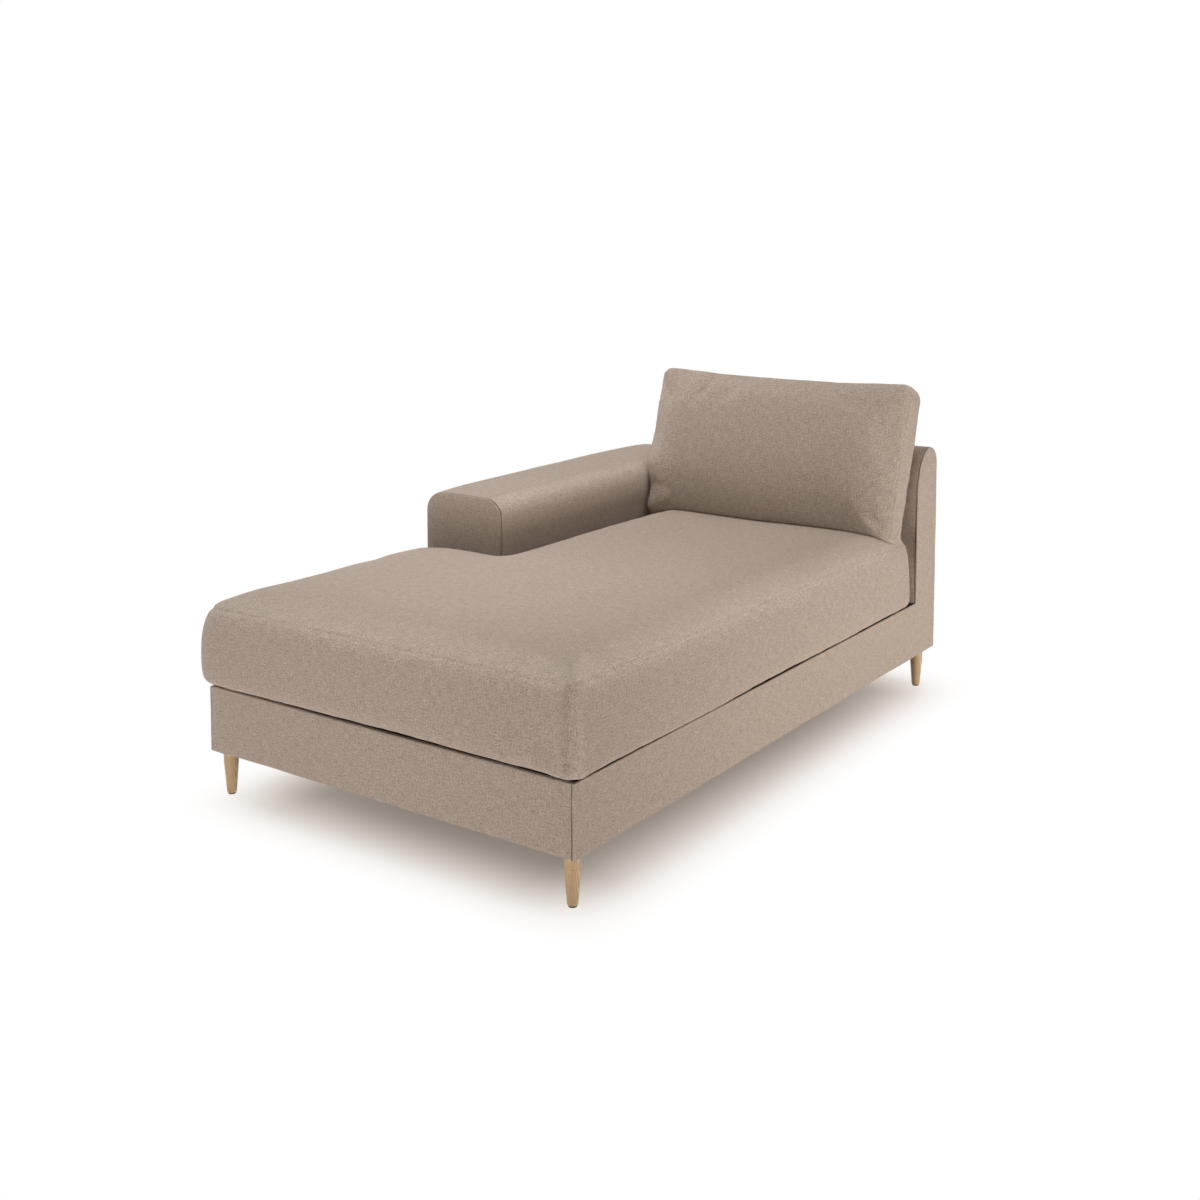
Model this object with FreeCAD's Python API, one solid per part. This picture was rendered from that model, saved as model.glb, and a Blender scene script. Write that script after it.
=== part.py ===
# A chaise longue module: an upholstered platform on four turned wooden legs, with one low padded arm,
# a low padded back, a loose seat cushion notched around the arm, and a loose back cushion that leans
# on the back's rounded top. +Y points to the back, +X to the open side, and the floor is at Z = 0.
# All lengths are in millimetres.
import FreeCAD, Part
import math
import os

from FreeCAD import Placement, Rotation, Vector

# The whole
base_width = 1000.0
base_length = 1700.0
base_height = 147.0
leg_height = 103.0
arm_width = 246.0
arm_length = 980.0
arm_rise = 331.0
arm_edge_radius = 50.0
back_depth = 130.0
back_rise = 408.0
back_front_round_depth = 80.0
back_front_round_height = 125.0
back_rear_round_radius = 48.0

# Layers of upholstery, from the outside in
fabric = 2.0
side_padding = 8.0
deck_padding = 9.0
arm_top_padding = 22.0
back_front_padding = 22.0
back_top_padding = 22.0
hem_width = 40.0

# Timber and boards
rail_thickness = 25.0
corner_block_size = 70.0
cross_rail_height = 80.0
front_cross_rails = 2
rear_cross_rails = 2
panel_thickness = 18.0
board_thickness = 4.0
top_rail_height = 60.0
rib_count = 3

# Woven straps under the seat, and plain ones in the back
strap_thickness = 1.8
strap_width = 60.0
weave_gap = 0.3
front_cross_straps = 4
rear_cross_straps = 5
long_strap_count = 3
back_strap_count = 3
back_strap_width = 50.0

# Legs and their hardware
leg_top_radius = 16.5
leg_shoulder_height = 74.0
leg_foot_radius = 10.8
leg_foot_round = 3.0
leg_inset_side = 27.0
leg_inset_front = 33.0
leg_inset_rear = 56.0
glide_radius = 8.5
glide_thickness = 2.5
bolt_radius = 4.0
bolt_depth_in_leg = 32.0
bolt_depth_in_block = 40.0
hardware_clearance = 0.1

# Seat cushion
seat_height = 202.0
seat_overhang = 20.0
seat_crown_inset = 200.0
seat_corner_radius = 58.0
seat_notch_radius = 3.0
seat_side_gap = 1.0
seat_rear_gap = 6.0
seat_core_height = 150.0
cushion_cover = 1.6
rest_gap = 0.3

# Back cushion
cushion_height = 440.0
cushion_thickness = 150.0
cushion_lean_degrees = 18.0
cushion_corner_radius = 30.0
cushion_crown_inset = 150.0
cushion_fibre = 40.0
cushion_side_gap = 4.0
cushion_sink = 14.0

# Zips in the cushion covers
zip_width = 24.0
seat_zip_height = 85.0
seat_zip_share = 0.7
cushion_zip_height = 75.0
cushion_zip_share = 0.5

# How a cushion's outline stands in from its fullest line. Each pair is a share of the cushion's height or
# thickness, and a share of the crown's inset.
seat_form_shares = [
    (0.0, 0.125), (0.09, 0.04), (0.42, 0.0), (0.66, 0.035), (0.82, 0.1), (0.925, 0.25), (0.98, 0.57),
    (1.0, 1.0),
]
cushion_form_shares = [
    (0.0, 1.0), (0.07, 0.45), (0.18, 0.06), (0.5, 0.0), (0.82, 0.06), (0.93, 0.45), (1.0, 1.0),
]

# Places that follow from the sizes above
front_y = -(base_length - seat_overhang) / 2
rear_y = (base_length + seat_overhang) / 2
side_x = base_width / 2
deck_z = leg_height + base_height
arm_inner_x = -side_x + arm_width
arm_front_y = rear_y - arm_length
arm_z = deck_z + arm_rise
back_front_y = rear_y - back_depth
back_z = deck_z + back_rise
seat_z = deck_z + rest_gap + seat_height
layer_side = fabric + side_padding
frame_x = side_x - layer_side
frame_front_y = front_y + layer_side
frame_rear_y = rear_y - layer_side
frame_z = leg_height + fabric
deck_under_z = deck_z - fabric - deck_padding
weave_height = (strap_thickness + weave_gap) / 2
rail_z = deck_under_z - strap_thickness - weave_height - hardware_clearance
arm_frame_x = arm_inner_x - layer_side
arm_frame_y = arm_front_y + layer_side
back_frame_y = back_front_y + fabric + back_front_padding
back_frame_z = back_z - fabric - back_top_padding
cushion_width = side_x - arm_inner_x - 2 * cushion_side_gap


def save(name, shape):
    """Writes one sub-part, and says so if it isn't sound."""
    if not shape.isValid() or shape.Volume <= 0:
        print("unsound:", name)
    shape.exportStep(os.path.join("parts", name + ".step"))


def block(x0, x1, y0, y1, z0, z1):
    """A box between two limits on each axis."""
    return Part.makeBox(x1 - x0, y1 - y0, z1 - z0, Vector(x0, y0, z0))


def prism(points, z0, z1):
    """An upright prism over a plan outline."""
    corners = [Vector(x, y, z0) for x, y in points]
    return Part.Face(Part.makePolygon(corners + corners[:1])).extrude(Vector(0, 0, z1 - z0))


def spread(start, end, count):
    """The middles of equal shares of a length."""
    return [start + (end - start) * (i + 1 / 2) / count for i in range(count)]


def solids(shape):
    """What a cut or an intersection leaves, as one solid or as a group of them."""
    return shape.Solids[0] if len(shape.Solids) == 1 else Part.makeCompound(shape.Solids)


def share_out(shape, regions):
    """Cuts a layer into panels. Each region takes what the ones before it have left."""
    panels = {}
    for name, region in regions:
        panels[name] = solids(shape.common(region))
        shape = solids(shape.cut(region))
    return panels


def arc_bend(radius):
    """How far the middle of a quarter arc stays off its corner's two sides."""
    return radius * (1 - math.sqrt(1 / 2))


def arm_profile(side, top, y, foot):
    """The arm's cross-section at y, taken in by a layer: square at the foot, round along its top edges."""
    x0, x1, z1 = -side_x + side, arm_inner_x - side, arm_z - top
    r = arm_edge_radius - side
    b = arc_bend(r)
    curves = [
        Part.LineSegment(Vector(x0, y, foot), Vector(x1, y, foot)),
        Part.LineSegment(Vector(x1, y, foot), Vector(x1, y, z1 - r)),
        Part.Arc(Vector(x1, y, z1 - r), Vector(x1 - b, y, z1 - b), Vector(x1 - r, y, z1)),
        Part.LineSegment(Vector(x1 - r, y, z1), Vector(x0 + r, y, z1)),
        Part.Arc(Vector(x0 + r, y, z1), Vector(x0 + b, y, z1 - b), Vector(x0, y, z1 - r)),
        Part.LineSegment(Vector(x0, y, z1 - r), Vector(x0, y, foot)),
    ]
    return Part.Face(Part.Wire([curve.toShape() for curve in curves]))


def arm_form(side, top, foot):
    """The arm, taken in by a layer at its sides, top and foot."""
    return arm_profile(side, top, arm_front_y + side, leg_height + foot).extrude(
        Vector(0, arm_length - 2 * side, 0)
    )


def back_profile(front, rear, top, x, foot):
    """The back's section at x, taken in by a layer: a deep round at the top's front, a tight one behind."""
    y0, y1, z1 = back_front_y + front, rear_y - rear, back_z - top
    deep, tall = back_front_round_depth - front, back_front_round_height - top
    r = back_rear_round_radius - rear
    b = arc_bend(r)
    crest, brow = Vector(x, y0 + deep, z1), Vector(x, y0, z1 - tall)
    curves = [
        Part.ArcOfEllipse(Part.Ellipse(crest, brow, Vector(x, y0 + deep, z1 - tall)), 0, math.pi / 2),
        Part.LineSegment(crest, Vector(x, y1 - r, z1)),
        Part.Arc(Vector(x, y1 - r, z1), Vector(x, y1 - b, z1 - b), Vector(x, y1, z1 - r)),
        Part.LineSegment(Vector(x, y1, z1 - r), Vector(x, y1, foot)),
        Part.LineSegment(Vector(x, y1, foot), Vector(x, y0, foot)),
        Part.LineSegment(Vector(x, y0, foot), brow),
    ]
    return Part.Face(Part.Wire(Part.__sortEdges__([curve.toShape() for curve in curves])))


def back_form(side, front, top, foot):
    """The back from the arm to the open side, taken in by a layer."""
    x0, x1 = arm_inner_x + side, side_x - side
    return back_profile(front, side, top, x0, leg_height + foot).extrude(Vector(x1 - x0, 0, 0))


def body_form(side, arm_top, back_front, back_top, foot, deck):
    """The platform, the arm and the back in one, taken in by a layer of upholstery."""
    base = block(
        -side_x + side, side_x - side, front_y + side, rear_y - side, leg_height + foot, deck_z - deck
    )
    body = base.fuse(arm_form(side, arm_top, foot)).fuse(back_form(side, back_front, back_top, foot))
    if side > 0:
        link = block(
            arm_inner_x - side, arm_inner_x + side, back_front_y + back_front, rear_y - side,
            leg_height + foot, arm_z - arm_edge_radius,
        )
        body = body.fuse(link)
    return body.removeSplitter()


def leg_places():
    """Where the four legs stand, in plan."""
    x = side_x - leg_inset_side
    return [(-x, front_y + leg_inset_front), (x, front_y + leg_inset_front),
            (-x, rear_y - leg_inset_rear), (x, rear_y - leg_inset_rear)]


def cylinders(radius, length, z):
    """An upright cylinder on each leg's axis, from height z."""
    return Part.makeCompound([Part.makeCylinder(radius, length, Vector(x, y, z)) for x, y in leg_places()])


def fabric_panels():
    """The cloth of the body, cut where it is sewn, with mitred corners in the hems underneath."""
    shell = body_form(0, 0, 0, 0, 0, 0).cut(body_form(fabric, fabric, fabric, fabric, fabric, fabric))
    bore = bolt_radius + hardware_clearance
    shell = shell.cut(cylinders(bore, 2 * fabric, leg_height))
    m, low, high = hem_width, leg_height, deck_z
    x_in, y_in, y_out = side_x - m, front_y + m, rear_y - m
    side_strip = prism([(side_x, front_y), (side_x, rear_y), (x_in, y_out), (x_in, y_in)], low, high)
    left_strip = prism([(-side_x, front_y), (-x_in, y_in), (-x_in, y_out), (-side_x, rear_y)], low, high)
    front_strip = prism([(-side_x, front_y), (side_x, front_y), (x_in, y_in), (-x_in, y_in)], low, high)
    rear_strip = prism([(-side_x, rear_y), (-x_in, y_out), (x_in, y_out), (side_x, rear_y)], low, high)
    arm_end = block(-side_x, arm_inner_x, rear_y - m, rear_y, low, high)
    side_post = block(side_x - fabric, side_x, back_front_y, rear_y, high, back_z)
    arm_rear = block(-side_x, arm_inner_x, rear_y - fabric, rear_y, high, arm_z)
    over_arm = block(-side_x, arm_inner_x, arm_front_y, rear_y, high - fabric, arm_z)
    over_back = block(arm_inner_x, side_x, back_front_y, rear_y, high - fabric, back_z)
    return share_out(shell, [
        ("right_side_cover", side_strip.fuse(side_post)),
        ("base_front_cover", front_strip),
        ("base_left_cover", left_strip.common(block(-side_x, 0, front_y, arm_front_y, low, high))),
        ("arm_front_facing", block(-side_x, arm_inner_x, arm_front_y, arm_front_y + fabric, high, arm_z)),
        ("arm_rear_facing", rear_strip.common(arm_end).fuse(arm_rear)),
        ("arm_wrap_cover", left_strip.fuse(over_arm)),
        ("back_left_facing", block(arm_inner_x, arm_inner_x + fabric, back_front_y, rear_y, high, back_z)),
        ("back_wrap_cover", rear_strip.fuse(over_back)),
        ("dust_cover", block(-side_x, side_x, front_y, rear_y, low, low + fabric)),
        ("deck_cloth", block(-side_x, side_x, front_y, rear_y, high - fabric, high)),
    ])


def padding_panels():
    """The foam and felt between the cloth and the frame."""
    frame_form = body_form(
        layer_side, fabric + arm_top_padding, fabric + back_front_padding, fabric + back_top_padding,
        fabric, fabric + deck_padding,
    )
    shell = body_form(fabric, fabric, fabric, fabric, fabric, fabric).cut(frame_form)
    low, high = leg_height, deck_z - fabric
    return share_out(shell, [
        ("base_right_padding", block(frame_x, side_x, front_y, rear_y, low, high)),
        ("base_left_padding", block(-side_x, -frame_x, front_y, rear_y, low, high)),
        ("base_front_padding", block(-side_x, side_x, front_y, frame_front_y, low, high)),
        ("base_rear_padding", block(-side_x, side_x, frame_rear_y, rear_y, low, high)),
        ("arm_front_padding", block(-side_x, arm_inner_x, front_y, arm_frame_y, high, arm_z)),
        ("arm_padding", block(-side_x, arm_inner_x, arm_front_y, rear_y, deck_under_z, arm_z)),
        ("back_padding", block(arm_inner_x, side_x, back_front_y, rear_y, deck_under_z, back_z)),
        ("deck_pad", block(-side_x, side_x, front_y, rear_y, deck_under_z, high)),
    ])


def frame_bays():
    """The platform's two open lengths, ahead of the arm's front rail and behind it."""
    t = rail_thickness
    return (frame_front_y + t, arm_frame_y - t), (arm_frame_y + t, back_frame_y - t)


def base_frame():
    """The platform's rails, and the inner rails under the arm and the back."""
    t, low, high = rail_thickness, frame_z, rail_z
    front_bay, rear_bay = frame_bays()
    x_in = frame_x - corner_block_size
    y_in, y_out = frame_front_y + corner_block_size, frame_rear_y - corner_block_size
    arm_rail = block(arm_frame_x - t, arm_frame_x + t, arm_frame_y - t, back_frame_y - t, low, high)
    save("base_front_rail", block(-x_in, x_in, frame_front_y, frame_front_y + t, low, high))
    save("base_back_rail", block(-x_in, x_in, frame_rear_y - t, frame_rear_y, low, high))
    save("base_left_rail", block(-frame_x, -frame_x + t, y_in, y_out, low, high))
    save("base_right_rail", block(frame_x - t, frame_x, y_in, y_out, low, high))
    save("base_arm_rail", arm_rail)
    save("base_arm_front_rail", block(
        -frame_x + t, arm_frame_x - t, arm_frame_y - t, arm_frame_y + t, low, high
    ))
    save("base_seat_rear_rail", block(
        -frame_x + t, frame_x - t, back_frame_y - t, back_frame_y + t, low, high
    ))
    rails = []
    for y in spread(*front_bay, front_cross_rails) + spread(*rear_bay, rear_cross_rails):
        rail = block(-frame_x + t, frame_x - t, y - t / 2, y + t / 2, low, low + cross_rail_height)
        rails += rail.cut(arm_rail).Solids
    save("base_cross_rails", Part.makeCompound(rails))


def corner_blocks():
    """Four glued blocks that tie the rails together and take the leg bolts."""
    size, blocks = corner_block_size, []
    for x in (-frame_x, frame_x - size):
        for y in (frame_front_y, frame_rear_y - size):
            blocks.append(block(x, x + size, y, y + size, frame_z, rail_z))
    holes = cylinders(bolt_radius + hardware_clearance, bolt_depth_in_block + hardware_clearance, frame_z)
    save("base_corner_blocks", solids(Part.makeCompound(blocks).cut(holes)))


def strap(start, end, crossings, levels, across, at):
    """One woven strap, over (1) or under (-1) each strap that it crosses, and held at its two ends."""
    z, flat = rail_z + strap_thickness / 2, strap_width / 2 + strap_thickness
    line = [(start, z), (start + rail_thickness, z)]
    for place, level in zip(crossings, levels):
        line += [(place - flat, z + level * weave_height), (place + flat, z + level * weave_height)]
    line += [(end - rail_thickness, z), (end, z)]
    outline = [(a, b - strap_thickness / 2) for a, b in line]
    outline += [(a, b + strap_thickness / 2) for a, b in reversed(line)]
    edge = at - strap_width / 2
    corners = [Vector(a, edge, b) if across else Vector(edge, a, b) for a, b in outline]
    push = Vector(0, strap_width, 0) if across else Vector(strap_width, 0, 0)
    return Part.Face(Part.makePolygon(corners + corners[:1])).extrude(push)


def seat_webbing():
    """Elastic straps woven over and under each other, which carry the seat cushion."""
    gap = hardware_clearance
    front_bay, rear_bay = frame_bays()
    ys = spread(*front_bay, front_cross_straps) + spread(*rear_bay, rear_cross_straps)
    xs = spread(arm_frame_x, frame_x - rail_thickness, long_strap_count)
    arm_x = (arm_frame_x - frame_x) / 2
    cross, lengthwise = [], []
    for i, y in enumerate(ys):
        ahead = y < arm_frame_y
        places = [arm_x] + xs if ahead else xs
        first = (1 if i % 2 == 0 else -1) * (-1 if ahead else 1)
        levels = [first if j % 2 == 0 else -first for j in range(len(places))]
        cross.append(strap(-frame_x if ahead else arm_frame_x + gap, frame_x, places, levels, True, y))
    for j, x in enumerate(xs):
        levels = [1 if (i + j) % 2 else -1 for i in range(len(ys))]
        lengthwise.append(strap(frame_front_y, back_frame_y - gap, ys, levels, False, x))
    ahead = [y for y in ys if y < arm_frame_y]
    levels = [-1 if i % 2 else 1 for i in range(len(ahead))]
    lengthwise.append(strap(frame_front_y, arm_frame_y - gap, ahead, levels, False, arm_x))
    save("seat_webbing_cross", Part.makeCompound(cross))
    save("seat_webbing_long", Part.makeCompound(lengthwise))


def arm_frame():
    """Shaped panels at the arm's ends and middle, with thin boards let into their edges."""
    top = fabric + arm_top_padding
    skin, skin_top = layer_side + board_thickness, top + board_thickness
    span = block(-side_x, arm_inner_x, front_y, rear_y, rail_z, arm_z)
    whole = arm_form(layer_side, top, fabric).common(span)
    inside = arm_form(skin, skin_top, fabric).common(span)
    length = block(-side_x, arm_inner_x, arm_front_y + skin, rear_y - skin, rail_z, arm_z)
    shoulder_z = arm_z - top - (arm_edge_radius - layer_side)
    boards = share_out(whole.common(length).cut(inside), [
        ("arm_top_board", block(-side_x, arm_inner_x, front_y, rear_y, shoulder_z, arm_z)),
        ("arm_inner_board", block(arm_inner_x - skin, arm_inner_x, front_y, rear_y, rail_z, arm_z)),
        ("arm_outer_board", block(-side_x, -side_x + skin, front_y, rear_y, rail_z, arm_z)),
    ])
    for name, board in boards.items():
        save(name, board)

    def panel(y0, y1, shape):
        return shape.common(block(-side_x, arm_inner_x, y0, y1, rail_z, arm_z))

    t, middle_y = panel_thickness, (arm_front_y + rear_y) / 2
    front_y0, rear_y0 = arm_front_y + skin, rear_y - skin
    front_panel = panel(arm_front_y, front_y0, whole).fuse(panel(front_y0, front_y0 + t, inside))
    rear_panel = panel(rear_y0, rear_y, whole).fuse(panel(rear_y0 - t, rear_y0, inside))
    save("arm_front_panel", solids(front_panel.removeSplitter()))
    save("arm_rear_panel", solids(rear_panel.removeSplitter()))
    save("arm_middle_panel", solids(panel(middle_y - t / 2, middle_y + t / 2, inside)))


def back_frame():
    """Shaped ribs under a rounded top rail, with straps in front of them and a thin board behind."""
    whole = back_form(layer_side, fabric + back_front_padding, fabric + back_top_padding, fabric)
    x0, x1 = arm_inner_x + layer_side, frame_x
    top_z = back_frame_z - top_rail_height
    front, rear = back_frame_y + strap_thickness, frame_rear_y - board_thickness
    save("back_top_rail", solids(whole.common(block(x0, x1, back_front_y, rear_y, top_z, back_z))))
    t, ribs = panel_thickness, []
    for i in range(rib_count):
        x = x0 + (x1 - x0 - t) * i / (rib_count - 1)
        ribs += whole.common(block(x, x + t, front, rear, rail_z, top_z)).Solids
    save("back_ribs", Part.makeCompound(ribs))
    save("back_rear_board", block(x0, x1, rear, frame_rear_y, rail_z, top_z))
    pitch, straps = (top_z - deck_z) / back_strap_count, []
    for i in range(back_strap_count):
        z = deck_z + (i + 1 / 2) * pitch - back_strap_width / 2
        straps += whole.common(block(x0, x1, back_frame_y, front, z, z + back_strap_width)).Solids
    save("back_webbing", Part.makeCompound(straps))


def leg(x, y):
    """One turned leg: a straight shoulder, then a long taper to a softened foot on its glide."""
    bore, bore_z = bolt_radius + hardware_clearance, leg_height - bolt_depth_in_leg - hardware_clearance
    outline = [
        (0, glide_thickness), (leg_foot_radius - leg_foot_round, glide_thickness),
        (leg_foot_radius, glide_thickness + leg_foot_round), (leg_top_radius, leg_shoulder_height),
        (leg_top_radius, leg_height), (bore, leg_height), (bore, bore_z), (0, bore_z),
    ]
    corners = [Vector(x + r, y, z) for r, z in outline]
    face = Part.Face(Part.makePolygon(corners + corners[:1]))
    return face.revolve(Vector(x, y, 0), Vector(0, 0, 1), 360)


def leg_hardware():
    """The hanger bolts that hold the legs to the corner blocks, and the glides under the feet."""
    bolt_length = bolt_depth_in_leg + fabric + bolt_depth_in_block
    save("leg_hanger_bolts", cylinders(bolt_radius, bolt_length, leg_height - bolt_depth_in_leg))
    save("leg_glides", cylinders(glide_radius, glide_thickness, 0))


def rounded_outline(corners, radii, z):
    """A flat outline at height z, with an arc of its own radius in each corner."""
    count, arcs = len(corners), []
    for i, (x, y) in enumerate(corners):
        here = Vector(x, y, z)
        before = (Vector(corners[i - 1][0], corners[i - 1][1], z) - here).normalize()
        after = (Vector(corners[(i + 1) % count][0], corners[(i + 1) % count][1], z) - here).normalize()
        centre = here + (before + after) * radii[i]
        middle = centre + (here - centre).normalize() * radii[i]
        arcs.append((here + before * radii[i], middle, here + after * radii[i]))
    edges = []
    for i, (start, middle, end) in enumerate(arcs):
        edges.append(Part.Arc(start, middle, end).toShape())
        edges.append(Part.LineSegment(end, arcs[(i + 1) % count][0]).toShape())
    return Part.Wire(edges)


def skinned(outlines):
    """A closed form through a stack of outlines, with true planes between their straight sides."""
    faces = []
    for face in Part.makeLoft(outlines, True, True).Faces:
        points = [vertex.Point for vertex in face.OuterWire.OrderedVertexes]
        ends = [(edge.Vertexes[0].Point - edge.Vertexes[-1].Point).Length for edge in face.Edges]
        straight = all(edge.Length - end < hardware_clearance / 100 for edge, end in zip(face.Edges, ends))
        faces.append(Part.Face(Part.makePolygon(points + points[:1])) if straight else face)
    skin = Part.makeCompound(faces)
    skin.sewShape()
    return Part.Solid(skin.Shells[0])


def seat_outline(inset, z):
    """The seat cushion's plan at one height, notched around the arm."""
    x0, x1 = -side_x - seat_overhang + inset, side_x + seat_overhang - inset
    y0, y1 = front_y - seat_overhang + inset, back_front_y - seat_rear_gap - inset
    xn, yn = arm_inner_x + seat_side_gap + inset, arm_front_y - seat_side_gap - inset
    corners = [(x0, y0), (x1, y0), (x1, y1), (xn, y1), (xn, yn), (x0, yn)]
    r = seat_corner_radius
    return rounded_outline(corners, [r, r, r, r, seat_notch_radius, r], z)


def seat_form(layer):
    """The seat cushion: drawn in at its foot, full at mid height and crowned on top."""
    foot, height = deck_z + rest_gap + layer, seat_height - 2 * layer
    return skinned([
        seat_outline(layer + a * seat_crown_inset, foot + h * height) for h, a in seat_form_shares
    ])


def cushion_outline(inset, depth):
    """The upright back cushion's face outline at one depth from its rear."""
    x0, x1, z0, z1 = inset, cushion_width - inset, inset, cushion_height - inset
    r = cushion_corner_radius
    b = arc_bend(r)

    def at(x, z):
        return Vector(x, -depth, z)

    curves = [
        Part.LineSegment(at(x0 + r, z0), at(x1 - r, z0)),
        Part.Arc(at(x1 - r, z0), at(x1 - b, z0 + b), at(x1, z0 + r)),
        Part.LineSegment(at(x1, z0 + r), at(x1, z1 - r)),
        Part.Arc(at(x1, z1 - r), at(x1 - b, z1 - b), at(x1 - r, z1)),
        Part.LineSegment(at(x1 - r, z1), at(x0 + r, z1)),
        Part.Arc(at(x0 + r, z1), at(x0 + b, z1 - b), at(x0, z1 - r)),
        Part.LineSegment(at(x0, z1 - r), at(x0, z0 + r)),
        Part.Arc(at(x0, z0 + r), at(x0 + b, z0 + b), at(x0 + r, z0)),
    ]
    return Part.Wire([curve.toShape() for curve in curves])


def cushion_form(layer, place):
    """The back cushion before it is pressed on the seat: a soft box, fuller in its middle than its edges."""
    thick = cushion_thickness - 2 * layer
    form = skinned([
        cushion_outline(layer + a * cushion_crown_inset, layer + d * thick) for d, a in cushion_form_shares
    ])
    form.Placement = place
    return form


def cushion_place():
    """Leans the back cushion until its rear is a rest gap off the back's elliptical brow."""
    lean = math.radians(cushion_lean_degrees)
    z = seat_z - cushion_sink - cushion_thickness * math.sin(lean)
    centre_y, centre_z = back_front_y + back_front_round_depth, back_z - back_front_round_height
    reach = math.hypot(back_front_round_depth * math.cos(lean), back_front_round_height * math.sin(lean))
    y = centre_y + ((z - centre_z) * math.sin(lean) - reach - rest_gap) / math.cos(lean)
    place = Vector(arm_inner_x + cushion_side_gap, y, z)
    return Placement(place, Rotation(Vector(1, 0, 0), -cushion_lean_degrees))


def seat_cushion():
    """The notched seat cushion: a zipped cover, a foam core and a softer layer over it."""
    inner = seat_form(cushion_cover)
    shell = seat_form(0).cut(inner)
    x0, y0, y1 = side_x + seat_overhang, front_y - seat_overhang, back_front_y
    under = block(-x0, x0, y0, y1, deck_z, deck_z + seat_core_height)
    save("seat_cushion_core", solids(inner.common(under)))
    save("seat_cushion_topper", solids(inner.cut(under)))
    middle, half = (side_x + arm_inner_x) / 2, (side_x - arm_inner_x) * seat_zip_share / 2
    z = deck_z + seat_zip_height
    band = block(middle - half, middle + half, y1 - seat_corner_radius, y1, z, z + zip_width)
    save("seat_cushion_cover", solids(shell.cut(band)))
    save("seat_cushion_zip", solids(shell.common(band)))


def back_cushion():
    """The leaning back cushion: a zipped cover, and a foam core between two layers of fibre."""
    place = cushion_place()
    seat = seat_form(0)
    outer = cushion_form(0, place).cut(seat.translated(Vector(0, 0, rest_gap)))
    inner = cushion_form(cushion_cover, place).cut(seat.translated(Vector(0, 0, rest_gap + cushion_cover)))
    shell = outer.cut(inner)

    def slab(x0, x1, near, far, z0, z1):
        """A block in the cushion's own leaning frame, given by its depths from the rear face."""
        piece = block(x0, x1, -far, -near, z0, z1)
        piece.Placement = place
        return piece

    wide, tall, thick = cushion_width, cushion_height, cushion_thickness
    rear = slab(0, wide, 0, cushion_fibre, 0, tall)
    front = slab(0, wide, thick - cushion_fibre, thick, 0, tall)
    save("back_cushion_rear_fibre", solids(inner.common(rear)))
    save("back_cushion_front_fibre", solids(inner.common(front)))
    save("back_cushion_core", solids(inner.cut(rear).cut(front)))
    margin = wide * (1 - cushion_zip_share) / 2
    z = cushion_zip_height
    band = slab(margin, wide - margin, 0, cushion_fibre, z, z + zip_width)
    save("back_cushion_cover", solids(shell.cut(band)))
    save("back_cushion_zip", solids(shell.common(band)))


def main():
    os.makedirs("parts", exist_ok=True)
    panels = {**fabric_panels(), **padding_panels()}
    for name, panel in panels.items():
        save(name, panel)
    base_frame()
    corner_blocks()
    seat_webbing()
    arm_frame()
    back_frame()
    legs = [leg(x, y) for x, y in leg_places()]
    save("front_legs", Part.makeCompound(legs[:2]))
    save("rear_legs", Part.makeCompound(legs[2:]))
    leg_hardware()
    seat_cushion()
    back_cushion()


main()
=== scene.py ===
# %% [markdown]
# A chaise longue module, dressed for the camera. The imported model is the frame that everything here
# stands on: its bodies carry the pieces, and its nodes say where each piece goes. The timber inside
# keeps its own solids, and every cloth or padded piece is made again here with soft edges and seams.

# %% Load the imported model
import math

import bmesh
import bpy
import numpy
from mathutils import Euler, Matrix, Vector, noise
from mathutils.bvhtree import BVHTree
from mathutils.kdtree import KDTree


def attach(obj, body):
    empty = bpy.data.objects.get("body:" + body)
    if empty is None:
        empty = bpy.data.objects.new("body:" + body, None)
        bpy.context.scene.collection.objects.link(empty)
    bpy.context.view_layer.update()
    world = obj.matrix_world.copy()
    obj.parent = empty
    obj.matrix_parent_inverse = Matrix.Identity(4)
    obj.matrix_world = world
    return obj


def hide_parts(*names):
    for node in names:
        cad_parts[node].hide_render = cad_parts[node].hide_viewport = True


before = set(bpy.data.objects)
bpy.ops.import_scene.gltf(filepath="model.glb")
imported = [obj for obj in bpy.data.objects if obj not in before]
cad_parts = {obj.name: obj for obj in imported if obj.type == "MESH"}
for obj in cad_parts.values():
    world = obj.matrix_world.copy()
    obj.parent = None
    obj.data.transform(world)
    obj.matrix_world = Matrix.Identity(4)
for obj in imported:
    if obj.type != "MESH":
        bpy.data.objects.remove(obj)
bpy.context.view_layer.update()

# %% [markdown]
# The camera comes first, because it decides what detail can be seen. The photograph was taken from the
# front right at a little over sitting height, with upright lines kept nearly upright, so the camera
# looks down by a few degrees and the rest of the framing is lens shift.

# %% Camera
def add_object(name, data):
    """Makes an object and puts it in the scene."""
    made = bpy.data.objects.new(name, data)
    bpy.context.scene.collection.objects.link(made)
    return made


camera_data = bpy.data.cameras.new("camera")
camera_data.sensor_width = 36.0
camera_data.lens = 43.211
camera_data.shift_y = -0.20
camera = add_object("camera", camera_data)
camera.location = (2.003, -2.893, 1.252)
camera.rotation_euler = Euler((math.radians(90 - 5.07), 0, math.radians(35.13)))
bpy.context.scene.camera = camera
print("camera lens:", camera_data.lens, "mm")

# %% [markdown]
# A node group is a recipe that several materials share. These small helpers add nodes and join them,
# so each recipe below reads as a list of what is mixed with what.


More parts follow.
